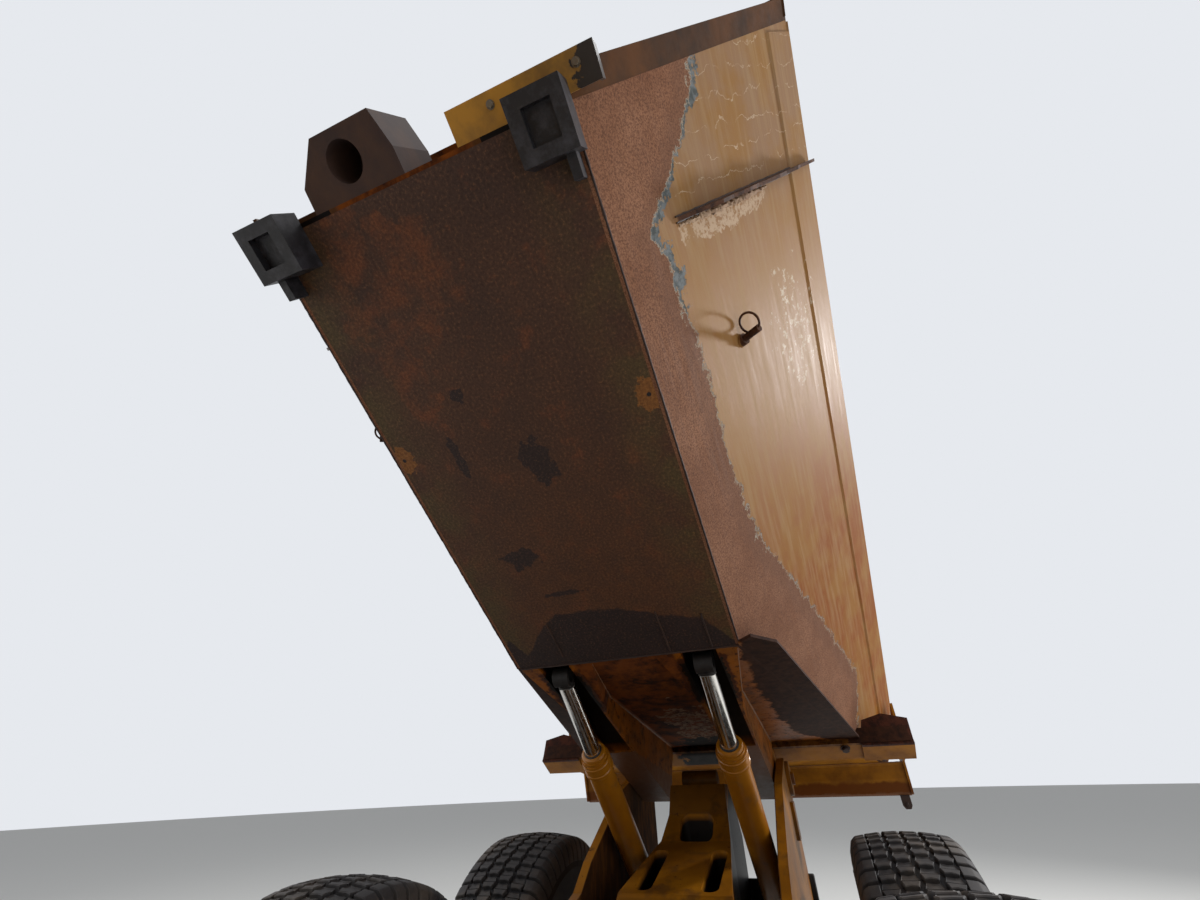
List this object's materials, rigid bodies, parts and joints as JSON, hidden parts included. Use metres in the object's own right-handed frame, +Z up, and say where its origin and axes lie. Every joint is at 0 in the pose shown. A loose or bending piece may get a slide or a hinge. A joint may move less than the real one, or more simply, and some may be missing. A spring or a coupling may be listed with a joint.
{
  "type": "articulated dump truck",
  "caption": "Six-wheeled off-road dump truck, hinged between cab unit and load frame, with a tipping trough bed raised on hydraulic cylinders and a rear chute.",
  "frame": {"origin": "on the ground under the middle of the truck's length, on its centre plane, with the bed raised as stored", "axes": "+X forward, +Y to the truck's left, +Z up"},
  "size_m": [10.2634, 2.961, 4.8788],
  "materials": {
    "paint": "worn ochre paint",
    "rust": "bare rusty steel",
    "frame_paint": "dusty ochre paint",
    "dark_metal": "dark grey paint",
    "tyre": "matt dusty rubber",
    "rim_paint": "ochre paint",
    "chrome": "polished",
    "glass": "clear tinted",
    "trim": "matt grained",
    "lamp": "clear lens",
    "engine": "painted casting"
  },
  "bodies": {
    "rear": {"rear_frame": "frame_paint", "bogie": "dark_metal"},
    "bed": {"bed_floor": "rust", "bed_sides": "paint", "bed_front": "paint", "bed_chute": "paint", "bed_beams": "paint", "bed_rails": "paint", "bed_fittings": "dark_metal", "exhaust_inlet": "rust"},
    "hoist_barrel_left": {"hoist_barrel_l": "paint"},
    "hoist_barrel_right": {"hoist_barrel_r": "paint"},
    "hoist_rod_left": {"hoist_rod_l": "chrome"},
    "hoist_rod_right": {"hoist_rod_r": "chrome"},
    "hitch": {"hitch": "dark_metal"},
    "tractor": {"front_frame": "dark_metal", "front_axle": "dark_metal", "engine": "engine", "cab_body": "paint", "cab_glass": "glass", "cab_interior": "trim", "fenders": "dark_metal", "rails": "dark_metal", "lamps": "lamp"},
    "hood": {"hood": "paint", "grille": "dark_metal"},
    "door": {"cab_door": "paint", "door_glass": "glass"},
    "steer_barrel_left": {"steer_barrel_l": "dark_metal"},
    "steer_barrel_right": {"steer_barrel_r": "dark_metal"},
    "steer_rod_left": {"steer_rod_l": "chrome"},
    "steer_rod_right": {"steer_rod_r": "chrome"},
    "wheel_fl": {"tyre_fl": "tyre", "rim_fl": "rim_paint"},
    "wheel_fr": {"tyre_fr": "tyre", "rim_fr": "rim_paint"},
    "wheel_ml": {"tyre_ml": "tyre", "rim_ml": "rim_paint"},
    "wheel_mr": {"tyre_mr": "tyre", "rim_mr": "rim_paint"},
    "wheel_rl": {"tyre_rl": "tyre", "rim_rl": "rim_paint"},
    "wheel_rr": {"tyre_rr": "tyre", "rim_rr": "rim_paint"}
  },
  "joints": [
    {"name": "bed_tip", "type": "hinge", "parent": "rear", "child": "bed", "pos_m": [-3.98752, 0, 1.83], "axis": [0, -1, 0], "range_deg": [-30.24, 39.76]},
    {"name": "hitch_roll", "type": "hinge", "parent": "rear", "child": "hitch", "pos_m": [0.51248, 0, 0.96], "axis": [1, 0, 0], "range_deg": [-15, 15]},
    {"name": "steering", "type": "hinge", "parent": "hitch", "child": "tractor", "pos_m": [1.26249, 0, 0.96], "axis": [0, 0, 1], "range_deg": [-45, 45]},
    {"name": "hood_lift", "type": "hinge", "parent": "tractor", "child": "hood", "pos_m": [5.01248, 0, 1.2], "axis": [0, 1, 0], "range_deg": [0, 60]},
    {"name": "door_swing", "type": "hinge", "parent": "tractor", "child": "door", "pos_m": [1.94449, 0.741, 2.4], "axis": [0, 0, 1], "range_deg": [0, 80]},
    {"name": "hoist_swing_left", "type": "hinge", "parent": "rear", "child": "hoist_barrel_left", "pos_m": [-3.77182, 0.387, 1.009], "axis": [0, -1, 0], "range_deg": [-25.5, 33.5]},
    {"name": "hoist_slide_left", "type": "slide", "parent": "hoist_barrel_left", "child": "hoist_rod_left", "axis": [0.7706, 0, 0.6373], "range_m": [-0.4, 0.52]},
    {"name": "steer_swing_left", "type": "hinge", "parent": "hitch", "child": "steer_barrel_left", "pos_m": [0.81249, 0.45, 0.59], "axis": [0, 0, 1], "range_deg": [-32, 32]},
    {"name": "steer_slide_left", "type": "slide", "parent": "steer_barrel_left", "child": "steer_rod_left", "axis": [0.9998, -0.0214, 0], "range_m": [-0.335, 0.335]},
    {"name": "hoist_swing_right", "type": "hinge", "parent": "rear", "child": "hoist_barrel_right", "pos_m": [-3.77182, -0.387, 1.009], "axis": [0, -1, 0], "range_deg": [-25.5, 33.5]},
    {"name": "hoist_slide_right", "type": "slide", "parent": "hoist_barrel_right", "child": "hoist_rod_right", "axis": [0.7706, 0, 0.6373], "range_m": [-0.4, 0.52]},
    {"name": "steer_swing_right", "type": "hinge", "parent": "hitch", "child": "steer_barrel_right", "pos_m": [0.81249, -0.45, 0.59], "axis": [0, 0, 1], "range_deg": [-32, 32]},
    {"name": "steer_slide_right", "type": "slide", "parent": "steer_barrel_right", "child": "steer_rod_right", "axis": [0.9998, 0.0214, 0], "range_m": [-0.335, 0.335]},
    {"name": "roll_fl", "type": "hinge", "parent": "tractor", "child": "wheel_fl", "pos_m": [2.56249, 1.128, 0.79], "axis": [0, 1, 0], "continuous": true},
    {"name": "roll_fr", "type": "hinge", "parent": "tractor", "child": "wheel_fr", "pos_m": [2.56249, -1.128, 0.79], "axis": [0, 1, 0], "continuous": true},
    {"name": "roll_ml", "type": "hinge", "parent": "rear", "child": "wheel_ml", "pos_m": [-1.63752, 1.128, 0.79], "axis": [0, 1, 0], "continuous": true},
    {"name": "roll_mr", "type": "hinge", "parent": "rear", "child": "wheel_mr", "pos_m": [-1.63752, -1.128, 0.79], "axis": [0, 1, 0], "continuous": true},
    {"name": "roll_rl", "type": "hinge", "parent": "rear", "child": "wheel_rl", "pos_m": [-3.33751, 1.128, 0.79], "axis": [0, 1, 0], "continuous": true},
    {"name": "roll_rr", "type": "hinge", "parent": "rear", "child": "wheel_rr", "pos_m": [-3.33751, -1.128, 0.79], "axis": [0, 1, 0], "continuous": true}
  ],
  "couplings": [
    {"joint": "hoist_swing_left", "follows": "bed_tip", "ratio": 0.82},
    {"joint": "hoist_slide_left", "follows": "bed_tip", "m_per_rad": 0.74},
    {"joint": "steer_swing_left", "follows": "steering", "ratio": 0.693},
    {"joint": "steer_slide_left", "follows": "steering", "m_per_rad": -0.424},
    {"joint": "hoist_swing_right", "follows": "bed_tip", "ratio": 0.82},
    {"joint": "hoist_slide_right", "follows": "bed_tip", "m_per_rad": 0.74},
    {"joint": "steer_swing_right", "follows": "steering", "ratio": 0.693},
    {"joint": "steer_slide_right", "follows": "steering", "m_per_rad": 0.424}
  ]
}
